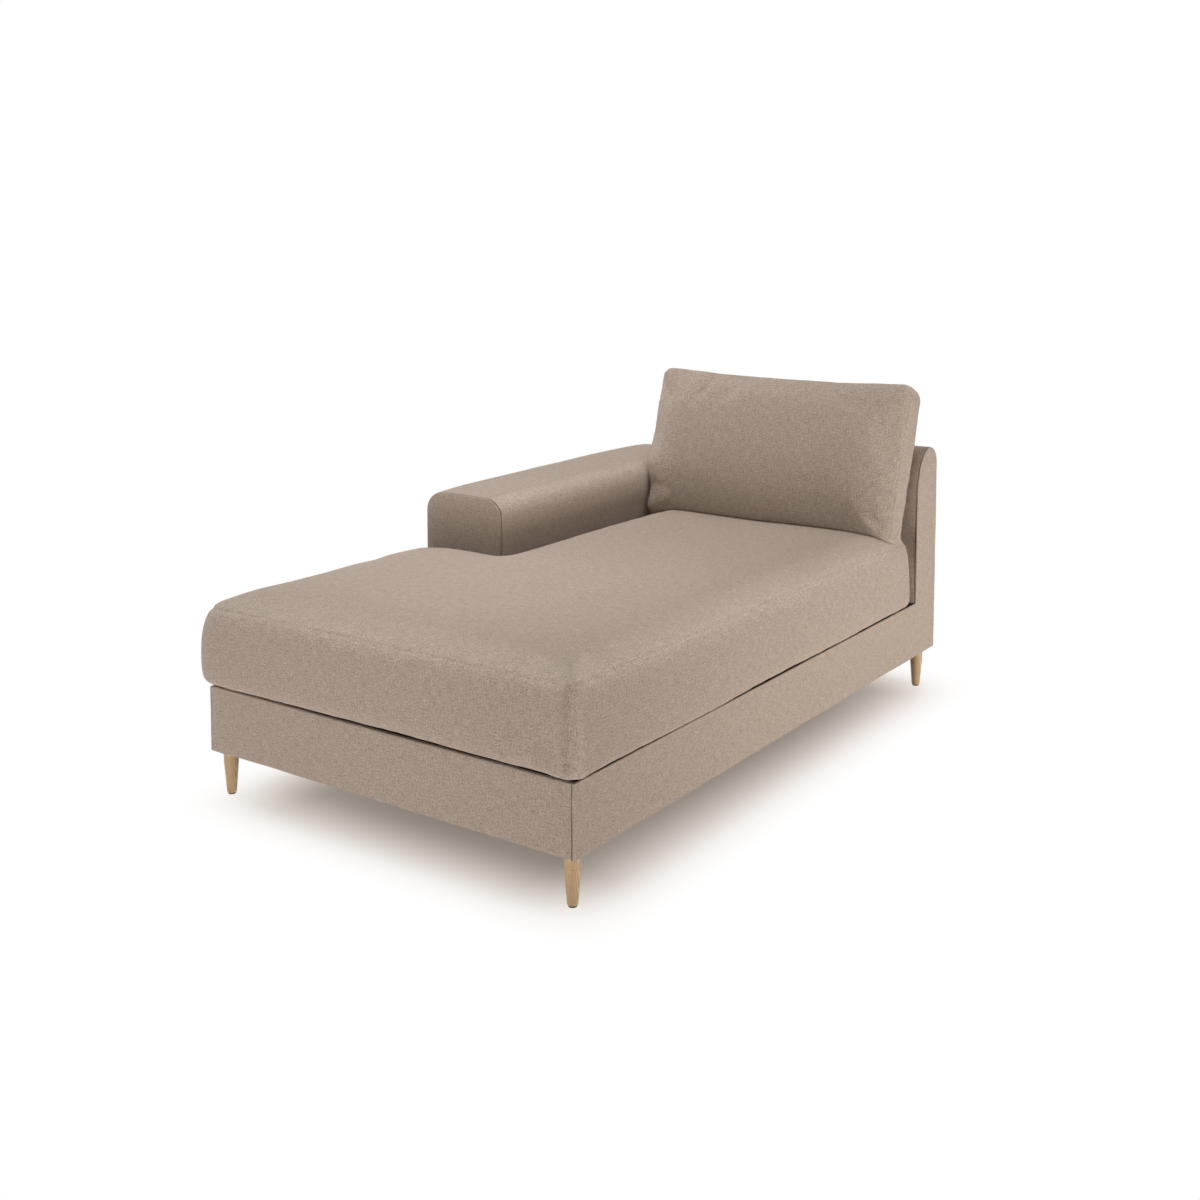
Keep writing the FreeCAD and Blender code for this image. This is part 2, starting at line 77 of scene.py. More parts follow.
# %% Helpers for shader nodes
def new_group(name, inputs, outputs):
    """Starts a node group with named sockets, and gives back its tree and its two ends."""
    tree = bpy.data.node_groups.new(name, "ShaderNodeTree")
    for label, kind, value in inputs:
        socket = tree.interface.new_socket(label, in_out="INPUT", socket_type="NodeSocket" + kind)
        if value is not None:
            socket.default_value = value
    for label, kind in outputs:
        tree.interface.new_socket(label, in_out="OUTPUT", socket_type="NodeSocket" + kind)
    return tree, tree.nodes.new("NodeGroupInput"), tree.nodes.new("NodeGroupOutput")


def feed(tree, socket, value):
    """Sets an input, or links it when the value comes from another node."""
    if isinstance(value, bpy.types.NodeSocket):
        tree.links.new(value, socket)
    elif value is not None:
        socket.default_value = value


def add_node(tree, kind, *values, **settings):
    """Adds a shader node, sets its properties, and feeds its inputs in order. None leaves an input."""
    node = tree.nodes.new("ShaderNode" + kind)
    for label, setting in settings.items():
        setattr(node, label, setting)
    for socket, value in zip(node.inputs, values):
        feed(tree, socket, value)
    return node


def use_group(tree, group, **values):
    """Places a node group, feeds its named inputs, and gives back its outputs."""
    node = add_node(tree, "Group", node_tree=group)
    for label, value in values.items():
        feed(tree, node.inputs[label], value)
    return node.outputs


def maths(tree, operation, *values):
    """A Math node."""
    return add_node(tree, "Math", *values, operation=operation).outputs[0]


def remap(tree, value, low, high, to_low, to_high):
    """A Map Range node, held within its limits."""
    return add_node(tree, "MapRange", value, low, high, to_low, to_high).outputs[0]


def clouds(tree, vector, scale, detail=2.0, roughness=0.5, output="Fac"):
    """A Noise node."""
    return add_node(tree, "TexNoise", vector, None, scale, detail, roughness).outputs[output]


def stretch(tree, vector, scale):
    """A Mapping node that only scales."""
    return add_node(tree, "Mapping", vector, None, None, scale).outputs[0]


def mix_values(tree, factor, first, second):
    """A Mix node for numbers."""
    return add_node(tree, "Mix", factor, None, first, second).outputs[0]


def blend_colours(tree, factor, first, second, mode="MIX"):
    """A Mix node for colours."""
    node = add_node(tree, "Mix", factor, data_type="RGBA", blend_type=mode)
    feed(tree, node.inputs[6], first)
    feed(tree, node.inputs[7], second)
    return node.outputs[2]


# %% [markdown]
# The cloth is a plain weave of two slightly different yarns, so from a step away it looks mottled, with
# short streaks along both threads. A weave lies flat in the surface. Here the surface's own direction
# picks which two of the three axes the threads follow, which needs no unwrapping.


# %% Flat coordinates and the weave
def flat_plane_group():
    """Gives coordinates that lie in the surface, from the axis that the surface faces most."""
    tree, start, end = new_group("flat_plane", [], [("Plane", "Vector")])
    tree.nodes.remove(start)
    coordinates = add_node(tree, "TexCoord").outputs
    x, y, z = add_node(tree, "SeparateXYZ", coordinates["Object"]).outputs
    facing = add_node(tree, "SeparateXYZ", coordinates["Normal"]).outputs
    size_x, size_y, size_z = [maths(tree, "ABSOLUTE", out) for out in facing]
    up = maths(tree, "GREATER_THAN", size_z, maths(tree, "MAXIMUM", size_x, size_y))
    side = maths(tree, "GREATER_THAN", size_x, size_y)
    u = mix_values(tree, up, mix_values(tree, side, x, y), x)
    v = mix_values(tree, up, z, y)
    feed(tree, end.inputs[0], add_node(tree, "CombineXYZ", u, v).outputs[0])
    return tree


def weave_group(flat_plane):
    """Threads over and under each other, with a slub in each thread and a soft mottle over all."""
    tree, start, end = new_group(
        "plain_weave",
        [("Thread", "Float", 0.0012), ("Slub", "Float", 0.5)],
        [("Height", "Float"), ("Tone", "Float"), ("Mottle", "Float")],
    )
    thread, slub = start.outputs[0], start.outputs[1]
    plane = use_group(tree, flat_plane)[0]
    wander = clouds(tree, plane, 45.0, 1.0, output="Color")
    most_sway = (0.005, 0.005, 0.0)
    swayed = add_node(tree, "VectorMath", wander, most_sway, plane, operation="MULTIPLY_ADD").outputs[0]
    across_warp, across_weft, _ = add_node(tree, "SeparateXYZ", swayed).outputs
    u, v = [maths(tree, "DIVIDE", place, thread) for place in (across_warp, across_weft)]
    squares = maths(tree, "ADD", maths(tree, "FLOOR", u), maths(tree, "FLOOR", v))
    over = maths(tree, "PINGPONG", squares, 1.0)
    arches = []
    for place in (u, v):
        wave = maths(tree, "SINE", maths(tree, "MULTIPLY", place, math.pi))
        arches.append(maths(tree, "ABSOLUTE", wave))
    lift = mix_values(tree, over, *arches)
    warp = clouds(tree, stretch(tree, plane, (620, 48, 1)), 1.0, 1.0)
    weft = clouds(tree, stretch(tree, plane, (48, 620, 1)), 1.0, 1.0)
    streaks = maths(tree, "MULTIPLY", maths(tree, "ADD", warp, weft), 0.5)
    flecks = clouds(tree, plane, 310.0, 2.0, 0.6)
    tone = maths(tree, "MULTIPLY_ADD", maths(tree, "SUBTRACT", streaks, 0.5), slub, flecks)
    feed(tree, end.inputs["Height"], maths(tree, "MULTIPLY_ADD", streaks, slub, lift))
    feed(tree, end.inputs["Tone"], tone)
    feed(tree, end.inputs["Mottle"], clouds(tree, plane, 55.0, 3.0, 0.6))
    return tree


flat_plane = flat_plane_group()
plain_weave = weave_group(flat_plane)
print("node groups:", [flat_plane.name, plain_weave.name])


# %% [markdown]
# Every cloth on the piece is one shader with its own yarns: the upholstery, the dark bonded lining, the
# zip tape and the elastic webbing. Only the weave's scale, its two colours and its depth differ. A little
# sheen stands for the fine fibres that catch light at the edges.

# %% Cloth materials
def shader(name, roughness, **settings):
    """A material with a Principled shader, whose fixed numbers are set on the shader itself."""
    material = bpy.data.materials.new(name)
    material.use_nodes = True
    principled = material.node_tree.nodes["Principled BSDF"]
    principled.inputs["Roughness"].default_value = roughness
    for label, value in settings.items():
        principled.inputs[label.replace("_", " ")].default_value = value
    return material, material.node_tree, principled


def bump(tree, principled, height, depth):
    """Raises the surface by a height map, with the depth in metres."""
    node = add_node(tree, "Bump", 1.0, depth)
    feed(tree, node.inputs["Height"], height)
    feed(tree, principled.inputs["Normal"], node.outputs["Normal"])


def woven(name, dark, light, thread, slub, depth, roughness=0.92, sheen=0.25):
    """A woven cloth between two yarn colours, with painted shade where the weave lies low between its
    threads.
    """
    material, tree, principled = shader(
        name, roughness, Sheen_Weight=sheen, Sheen_Roughness=0.5, Specular_IOR_Level=0.25
    )
    weave = use_group(tree, plain_weave, Thread=thread, Slub=slub)
    tone = remap(tree, weave["Tone"], 0.2, 0.8, 0.0, 1.0)
    colour = blend_colours(tree, tone, (*dark, 1), (*light, 1))
    shade = remap(tree, weave["Mottle"], 0.3, 0.7, 0.93, 1.06)
    # Painted shade: the colour is darkened where the weave lies low between the threads.
    painted_thread_shade = remap(tree, weave["Height"], 0.0, 0.6, 0.86, 1.0)
    level = maths(tree, "MULTIPLY", shade, painted_thread_shade)
    grey = add_node(tree, "CombineColor", level, level, level).outputs[0]
    feed(tree, principled.inputs["Base Color"], blend_colours(tree, 1.0, colour, grey, "MULTIPLY"))
    bump(tree, principled, weave["Height"], depth)
    return material


upholstery = woven("taupe_weave", (0.270, 0.196, 0.145), (0.665, 0.537, 0.440), 0.0009, 0.9, 0.0004)
lining = woven("bonded_lining", (0.01, 0.009, 0.0085), (0.034, 0.031, 0.029), 0.0008, 0.4, 0.0002, 0.95, 0.0)
zip_cloth = woven("zip_cloth", (0.16, 0.12, 0.09), (0.26, 0.21, 0.17), 0.0006, 0.4, 0.0002, 0.8, 0.1)
strap_weave = woven("strap_weave", (0.02, 0.018, 0.015), (0.05, 0.042, 0.035), 0.002, 0.6, 0.0006, 0.9, 0.0)
print("cloths:", [m.name for m in (upholstery, lining, zip_cloth, strap_weave)])

# %% [markdown]
# Wood shows its growth rings as thin lines along its length. Here they are narrow bands that a slow
# noise bends, and the noise is stretched along the piece. Oak also has short dark pores.


# %% Wood, foam, plastic and steel
def grain_group():
    """Growth rings and pores along Z."""
    tree, start, end = new_group(
        "wood_grain",
        [("Vector", "Vector", None), ("Rings", "Float", 260.0)],
        [("Rings", "Float"), ("Pores", "Float")],
    )
    vector, rings = start.outputs[0], start.outputs[1]
    wander = clouds(tree, stretch(tree, vector, (9, 9, 1.2)), 1.0, output="Color")
    most_bend = (0.03, 0.03, 0.03)
    bent = add_node(tree, "VectorMath", wander, most_bend, vector, operation="MULTIPLY_ADD").outputs[0]
    bands = add_node(tree, "TexWave", bent, rings, 1.5, wave_type="BANDS", bands_direction="X")
    feed(tree, end.inputs[0], bands.outputs["Fac"])
    feed(tree, end.inputs[1], clouds(tree, stretch(tree, bent, (1400, 1400, 60)), 1.0, 2.0))
    return tree


wood_grain = grain_group()
print("node group:", wood_grain.name)


def wooden(name, dark, light, rings, roughness, turn=(0, 0, 0), coat=0.0):
    """A wood whose grain runs along the piece's length."""
    material, tree, principled = shader(name, roughness, Coat_Weight=coat, Coat_Roughness=0.3)
    place = add_node(tree, "TexCoord").outputs["Object"]
    turned = add_node(tree, "Mapping", place, None, turn).outputs[0]
    grain = use_group(tree, wood_grain, Vector=turned, Rings=rings)
    rings_tone = remap(tree, grain["Rings"], 0.1, 0.9, 0.0, 0.7)
    pore_tone = remap(tree, grain["Pores"], 0.42, 0.62, 0.3, 0.0)
    tone = maths(tree, "ADD", rings_tone, pore_tone)
    feed(tree, principled.inputs["Base Color"], blend_colours(tree, tone, (*light, 1), (*dark, 1)))
    worn = remap(tree, grain["Pores"], 0.3, 0.7, roughness + 0.1, roughness)
    feed(tree, principled.inputs["Roughness"], worn)
    bump(tree, principled, grain["Pores"], 0.0001)
    return material


def speckled(name, dark, light, scale, roughness, depth, metallic=0.0):
    """An even stuff with a fine speckle, such as foam, felt, moulded plastic or plated steel."""
    material, tree, principled = shader(name, roughness, Metallic=metallic)
    fine = clouds(tree, add_node(tree, "TexCoord").outputs["Object"], scale, 3.0, 0.6)
    tone = remap(tree, fine, 0.35, 0.65, 0.0, 1.0)
    feed(tree, principled.inputs["Base Color"], blend_colours(tree, tone, (*dark, 1), (*light, 1)))
    uneven = remap(tree, fine, 0.3, 0.7, roughness - 0.08, roughness + 0.08)
    feed(tree, principled.inputs["Roughness"], uneven)
    bump(tree, principled, fine, depth)
    return material


# %% [markdown]
# Each finish goes to the slot of the same name in the record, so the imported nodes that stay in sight,
# such as the bolts and the glides, get their material here in one loop.

# %% The finish of each slot
quarter = math.pi / 2
finishes = {
    "upholstery_cloth": upholstery,
    "lining_cloth": lining,
    "zip_tape": zip_cloth,
    "elastic_webbing": strap_weave,
    "padding": speckled("wadding", (0.70, 0.69, 0.66), (0.88, 0.87, 0.84), 700, 0.95, 0.001),
    "cushion_foam": speckled("foam", (0.78, 0.72, 0.55), (0.90, 0.86, 0.72), 900, 0.95, 0.0008),
    "leg_wood": wooden("light_oak", (0.33, 0.205, 0.105), (0.52, 0.355, 0.195), 150, 0.42, coat=0.25),
    "glide_plastic": speckled("glide_plastic", (0.02, 0.02, 0.02), (0.035, 0.033, 0.03), 2500, 0.5, 0.00005),
    "bolt_steel": speckled("bolt_steel", (0.52, 0.52, 0.50), (0.66, 0.66, 0.64), 1800, 0.35, 0.00003, 1.0),
    "fibreboard": speckled("fibreboard", (0.19, 0.115, 0.06), (0.26, 0.165, 0.09), 1200, 0.85, 0.0002),
    "plywood": wooden("birch_plywood", (0.50, 0.37, 0.21), (0.64, 0.50, 0.32), 60, 0.7, (quarter, 0, 0)),
    "frame_timber": wooden("softwood", (0.52, 0.36, 0.18), (0.72, 0.54, 0.32), 40, 0.7, (quarter, 0, 0)),
}
slot_of_node = {}
for name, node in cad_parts.items():
    for slot in node.material_slots:
        label = (slot.material.name if slot.material else "").split(".")[0]
        if label in finishes:
            slot.material = finishes[label]
            slot_of_node[name] = label
print("nodes with a finish:", len(slot_of_node), "of", len(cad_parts))


# %% [markdown]
# The upholstery is cut in panels and sewn where the body turns a corner. Each panel is made as its own
# padded shell: the outline of the cloth, seen from its end, is pushed out along the panel's length, its
# corners are rounded with a bevel, and a wall is given to it inwards. Rolling the cut edges with a
# second bevel leaves a fine groove where two panels meet, which is how a plain seam looks.


# %% Helpers for panels
def sharp_edges(bm, limit=50):
    """The edges where two faces meet at more than so many degrees."""
    return [e for e in bm.edges if len(e.link_faces) == 2 and math.degrees(e.calc_face_angle()) > limit]


def round_edges(bm, edges, radius, segments=3):
    """Bevels edges to a true round."""
    bmesh.ops.bevel(
        bm, geom=edges, affect="EDGES", offset=radius, segments=segments, profile=0.5, material=-1,
        clamp_overlap=True,
    )


def even_places(bm, axis, step):
    """The places that divide a mesh evenly along an axis, about a step apart."""
    low = min(v.co[axis] for v in bm.verts)
    high = max(v.co[axis] for v in bm.verts)
    count = max(1, round((high - low) / step))
    return [low + (high - low) * i / count for i in range(1, count)]


def cut_across(bm, axis, places, merge=1e-5):
    """Cuts a mesh by planes across an axis."""
    normal = Vector()
    normal[axis] = 1
    for place in places:
        everything = bm.verts[:] + bm.edges[:] + bm.faces[:]
        bmesh.ops.bisect_plane(bm, geom=everything, plane_co=normal * place, plane_no=normal, dist=merge)


def slice_up(bm, step):
    """Cuts a mesh across all three axes, so that flat faces can take a soft shape."""
    for axis in range(3):
        cut_across(bm, axis, even_places(bm, axis, step))


def soften(bm, amount, size, seed):
    """Lets a stuffed surface wander in and out a little, as padding does."""
    shift = Vector((seed * 3.7, seed * 1.3, seed * 2.9))
    bm.normal_update()
    moves = [v.normal * amount * noise.noise(v.co / size + shift) for v in bm.verts]
    for v, move in zip(bm.verts, moves):
        v.co += move


def finish_piece(name, bm, body, finish, replaced=(), smooth=True):
    """Turns a bmesh into a named piece that rides on a body."""
    bmesh.ops.remove_doubles(bm, verts=bm.verts[:], dist=1e-6)
    bmesh.ops.recalc_face_normals(bm, faces=bm.faces[:])
    mesh = bpy.data.meshes.new(name)
    bm.to_mesh(mesh)
    bm.free()
    if smooth:
        mesh.shade_smooth()
    mesh.materials.append(finishes[finish])
    made = add_object(name, mesh)
    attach(made, body)
    if replaced:
        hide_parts(*replaced)
    print(name, "has", len(mesh.polygons), "faces")
    return made


def spot_at(pair, at, along):
    """A point from its place along an axis and its two places across it."""
    spot = list(pair)
    spot.insert(along, at)
    return Vector(spot)


def push_on(bm, pushed, along, length):
    """Moves what an operator has just extruded along an axis."""
    verts = [g for g in pushed["geom"] if isinstance(g, bmesh.types.BMVert)]
    bmesh.ops.translate(bm, verts=verts, vec=spot_at((0, 0), length, along))


def round_corners(bm, rounds, along):
    """Rounds the edges that run along an axis through the given corners."""
    across = [axis for axis in range(3) if axis != along]
    for corner, radius, segments in rounds:
        spot = spot_at(corner, 0, along)
        lines = [e for e in bm.edges if all(abs(v.co[a] - spot[a]) < 1e-5 for v in e.verts for a in across)]
        round_edges(bm, lines, radius, segments)


roll, sheet_roll = 0.0016, 0.0006


def wrapped_panel(points, start, end, along, wall, rounds):
    """A shell over an open outline. The outline lies across the axis that the panel runs along."""
    bm = bmesh.new()
    verts = [bm.verts.new(spot_at(pair, start, along)) for pair in points]
    edges = [bm.edges.new(pair) for pair in zip(verts, verts[1:])]
    push_on(bm, bmesh.ops.extrude_edge_only(bm, edges=edges), along, end - start)
    round_corners(bm, rounds, along)
    middle = sum((v.co for v in bm.verts), Vector()) / len(bm.verts)
    bmesh.ops.recalc_face_normals(bm, faces=bm.faces[:])
    outward = sum((f.normal.dot(f.calc_center_median() - middle) * f.calc_area() for f in bm.faces))
    if outward < 0:
        bmesh.ops.reverse_faces(bm, faces=bm.faces[:])
    bmesh.ops.solidify(bm, geom=bm.faces[:], thickness=wall)
    round_edges(bm, sharp_edges(bm), roll)
    return bm


def slab(points, start, end, along):
    """A plain slab over a closed outline that lies across one axis."""
    bm = bmesh.new()
    face = bm.faces.new([bm.verts.new(spot_at(pair, start, along)) for pair in points])
    push_on(bm, bmesh.ops.extrude_face_region(bm, geom=[face]), along, end - start)
    bmesh.ops.recalc_face_normals(bm, faces=bm.faces[:])
    return bm


def flat_panel(points, start, end, along, edge_roll, rounds=()):
    """A slab with rounded corners and rolled edges."""
    bm = slab(points, start, end, along)
    round_corners(bm, rounds, along)
    round_edges(bm, sharp_edges(bm), edge_roll)
    return bm


# %% [markdown]
# These sizes repeat the ones that the solids were drawn from. The facing panels are thin slabs at each
# end, and the wrapped covers stop short of them, which leaves a narrow slot. From a few steps away that
# slot reads as the dark line of a sewn seam.

# %% Sizes of the body, in metres
side_x = 0.500
front_y, rear_y = -0.840, 0.860
foot_z, deck_z = 0.103, 0.250
hem, deck_edge = 0.040, 0.0105
arm_x, arm_y, arm_z = -0.254, -0.120, 0.581
back_y, back_z = 0.730, 0.658
brow_deep, brow_tall = 0.080, 0.125
arm_round, rear_round = 0.050, 0.048
pad = 0.010
seam, facing = 0.0006, 0.0045
setback, arm_setback = facing + 0.0013, facing + 0.0030
rear_rise, arm_crown = 0.009, 0.0055
panel_grid = 0.024
print("base:", 2 * side_x, "x", rear_y - front_y, "m")


def within(value):
    """Holds a share between nothing and one."""
    return min(max(value, 0), 1)


def rise(bm):
    """The arm's rear end and the back's crest are stuffed a little fuller than the boards under them."""
    for v in bm.verts:
        high = within((v.co.z - 0.45) / 0.13)
        back = within((v.co.y - arm_y) / 0.75)
        v.co.z += rear_rise * high * high * (3 - 2 * high) * back


def upholster(name, bm, replaced, swell, ceiling=1.0):
    """Lets a panel of the body swell by an amount over a size, and finishes it as a padded piece."""
    soften(bm, *swell)
    rise(bm)
    for v in bm.verts:
        v.co.z = min(v.co.z, ceiling)
    piece = finish_piece(name, bm, "frame", "upholstery_cloth", replaced)
    return piece


# %% [markdown]
# The base is a box of boards with thin padding. Its cover goes from under the seat cushion, over the
# edge, down the face and under the bottom, where it is stapled. So each side is a wrapped shell.

# %% The base
base_front = wrapped_panel(
    [(front_y + deck_edge, deck_z), (front_y, deck_z), (front_y, foot_z), (front_y + hem, foot_z)],
    -side_x + setback, side_x - setback, 0, pad,
    [((front_y, deck_z), 0.004, 4), ((front_y, foot_z), 0.005, 4)],
)
slice_up(base_front, panel_grid)
front_nodes = ["base_front_cover", "base_front_padding"]
upholster("base_front_panel", base_front, front_nodes, (0.0012, 0.12, 1), deck_z)

base_left = wrapped_panel(
    [(-side_x + deck_edge, deck_z), (-side_x, deck_z), (-side_x, foot_z), (-side_x + hem, foot_z)],
    front_y + seam, arm_y + facing, 1, facing,
    [((-side_x, deck_z), 0.003, 4), ((-side_x, foot_z), 0.004, 4)],
)
slice_up(base_left, panel_grid)
upholster("base_left_panel", base_left, ["base_left_cover", "base_left_padding"], (0.0012, 0.12, 2))


# %% [markdown]
# The right side has no arm, so one L-shaped panel covers the base and the side of the back. The back's
# front edge is a quarter of an ellipse, and both side panels and the wrap are cut to the same curve.

# %% The back's outline, and the right side in one piece
def brow_points(inset, steps=18):
    """The back's elliptical brow from its foot to the crest, a little inside the full line."""
    deep, tall = brow_deep - inset, brow_tall - inset
    angles = [math.pi / 2 * i / steps for i in range(steps + 1)]
    centre_y, centre_z = back_y + brow_deep, back_z - brow_tall
    return [(centre_y - deep * math.cos(a), centre_z + tall * math.sin(a)) for a in angles]


side_outline = [(front_y + seam, foot_z), (rear_y - seam, foot_z), (rear_y - seam, back_z - seam)]
side_outline += list(reversed(brow_points(seam))) + [(back_y + seam, deck_z), (front_y + seam, deck_z)]
right_side = flat_panel(
    side_outline, side_x - facing, side_x, 0, roll,
    [((rear_y - seam, back_z - seam), rear_round - seam, 10)],
)
slice_up(right_side, panel_grid)
upholster("right_side_panel", right_side, ["right_side_cover", "base_right_padding"], (0.0012, 0.12, 3))

# %% [markdown]
# The arm is one padded wrap with a flat facing at each end. Its top is crowned a little between the
# ends, because the padding pushes up where no facing holds it down.

# %% The arm
arm_wrap = wrapped_panel(
    [(-side_x + hem, foot_z), (-side_x, foot_z), (-side_x, arm_z), (arm_x, arm_z), (arm_x, deck_z - 0.01)],
    arm_y + arm_setback, rear_y - arm_setback, 1, pad,
    [((-side_x, foot_z), 0.005, 4), ((-side_x, arm_z), arm_round, 16), ((arm_x, arm_z), arm_round, 16)],
)
slice_up(arm_wrap, panel_grid)
for v in arm_wrap.verts:
    near_end = within(min(v.co.y - arm_y, rear_y - v.co.y) / 0.12)
    high_up = within((v.co.z - arm_z + 0.06) / 0.05)
    v.co.z += arm_crown * high_up * math.sin(math.pi / 2 * near_end)
arm_wrap = upholster("arm_wrap_panel", arm_wrap, ["arm_wrap_cover", "arm_padding"], (0.0016, 0.14, 4))

left, right, top = -side_x + seam, arm_x - seam, arm_z - seam
arm_ends = {
    "arm_front_panel_pad": (arm_y, deck_z - 0.01, ["arm_front_facing", "arm_front_padding"], 5),
    "arm_rear_panel_pad": (rear_y - facing, foot_z, ["arm_rear_facing"], 6),
}
for name, (place, foot, replaced, seed) in arm_ends.items():
    end = flat_panel(
        [(left, foot), (right, foot), (right, top), (left, top)], place, place + facing, 1, roll,
        [((right, top), arm_round - seam, 14), ((left, top), arm_round - seam, 14)],
    )
    slice_up(end, panel_grid)
    upholster(name, end, replaced, (0.001, 0.1, seed))

# %% [markdown]
# The back's wrap starts behind the seat, goes over the brow and the crest, and down the whole rear.

# %% The back
back_outline = [(back_y, deck_z - 0.01)] + brow_points(0.0)
back_outline += [(rear_y, back_z), (rear_y, foot_z), (rear_y - hem, foot_z)]
back_wrap = wrapped_panel(
    back_outline, arm_x + setback, side_x - setback, 0, pad,
    [((rear_y, back_z), rear_round, 12), ((rear_y, foot_z), 0.005, 4)],
)
slice_up(back_wrap, panel_grid)
back_wrap = upholster(
    "back_wrap_panel", back_wrap, ["back_wrap_cover", "back_padding", "base_rear_padding"], (0.0016, 0.14, 7)
)

left_outline = [(rear_y - seam, deck_z), (rear_y - seam, back_z - seam)]
left_outline += list(reversed(brow_points(seam))) + [(back_y + seam, deck_z)]
back_left = flat_panel(
    left_outline, arm_x, arm_x + facing, 0, roll, [((rear_y - seam, back_z - seam), rear_round - seam, 10)]
)
slice_up(back_left, panel_grid)
upholster("back_left_panel", back_left, ["back_left_facing"], (0.001, 0.1, 8))

# %% [markdown]
# Two flat sheets close the box. A dark lining over the straps and their pad carries the seat cushion, and
# shows as the black line under it. The other keeps dust out from below. Both are stretched and stapled,
# so they are thin slabs.

# %% The deck under the seat cushion, and the dust cover
deck_right = side_x - facing - 0.0005
deck = flat_panel(
    [
        (-side_x + deck_edge, front_y + deck_edge), (deck_right, front_y + deck_edge), (deck_right, back_y),
        (arm_x, back_y), (arm_x, arm_y), (-side_x + deck_edge, arm_y),
    ],
    deck_z - 0.002, deck_z - 0.0002, 2, sheet_roll,
)
slice_up(deck, 0.022)
strap_pitch, strap_dip = 0.11, 0.0036
for v in deck.verts:
    inside = min(v.co.x + side_x, side_x - v.co.x, v.co.y - front_y, back_y - v.co.y) / 0.08
    weave = math.sin(math.pi * v.co.x / strap_pitch) ** 2 * math.sin(math.pi * v.co.y / strap_pitch) ** 2
    v.co.z -= strap_dip * weave * within(inside)
deck = finish_piece("deck_sheet", deck, "frame", "lining_cloth", ["deck_cloth", "deck_pad"])

dust = flat_panel(
    [
        (-side_x + hem, front_y + hem), (side_x - deck_edge, front_y + hem),
        (side_x - deck_edge, rear_y - hem), (-side_x + hem, rear_y - hem),
    ],
    foot_z + 0.0002, foot_z + 0.002, 2, sheet_roll,
)
slice_up(dust, 0.05)
dust = finish_piece("dust_sheet", dust, "frame", "lining_cloth", ["dust_cover"])


# %% [markdown]
# Both cushions are boxed: a front or top panel and a rear or bottom panel, joined by a strip around the
# sides. A block with the cushion's outline is cut into an even grid, and then each point moves by how
# far it is from the outline. The panels rise towards their middle, and the strip swells between its two
# seams. Working by distance keeps the crown even around the notch, where scaled rings would fold.


# %% Helpers for cushions
def smooth_curve(table, steps=6):
    """Reads a smooth curve through a short table of pairs, as two lists."""
    rows = [table[0]] + list(table) + [table[-1]]
    curve = []
    for before, start, end, after in zip(rows, rows[1:], rows[2:], rows[3:]):
        for i in range(steps):
            t = i / steps
            curve.append([
                0.5 * (2 * p1 + (p2 - p0) * t + (2 * p0 - 5 * p1 + 4 * p2 - p3) * t ** 2
                       + (3 * p1 - p0 - 3 * p2 + p3) * t ** 3)
                for p0, p1, p2, p3 in zip(before, start, end, after)
            ])
    curve.append(list(table[-1]))
    return [c[0] for c in curve], [c[1] for c in curve]


seam_ring = 0.004


def cushion_block(corners, radii, thick, step, levels):
    """A block over an outline, with rounded upright edges, cut into a grid."""
    bm = slab(corners, 0, thick, 2)
    round_corners(bm, [(corner, radius, 8) for corner, radius in zip(corners, radii)], 2)
    panels = [f for f in bm.faces if abs(f.normal.z) > 0.5]
    bmesh.ops.inset_individual(bm, faces=panels, thickness=seam_ring, use_even_offset=True)
    for axis in range(2):
        cut_across(bm, axis, even_places(bm, axis, step), 0.0012)
    cut_across(bm, 2, [thick * level for level in levels])
    return bm


def outline_distance(points, segments, firmness):
    """How far each point is from an outline and the direction away from it, and then the same distance
    with each stretch of the outline counted by its firmness."""
    best = numpy.full(len(points), 1e9)
    felt = numpy.full(len(points), 1e9)
    away = numpy.zeros((len(points), 2))
    for start, end in segments:
        along = end - start
        share = numpy.clip(((points - start) @ along) / (along @ along), 0, 1)
        gap = points - (start + share[:, None] * along)
        size = numpy.hypot(gap[:, 0], gap[:, 1])
        felt = numpy.minimum(felt, size * firmness((start + end) / 2))
        nearer = size < best
        best[nearer] = size[nearer]
        away[nearer] = gap[nearer]
    return best, away / numpy.maximum(best, 1e-9)[:, None], felt


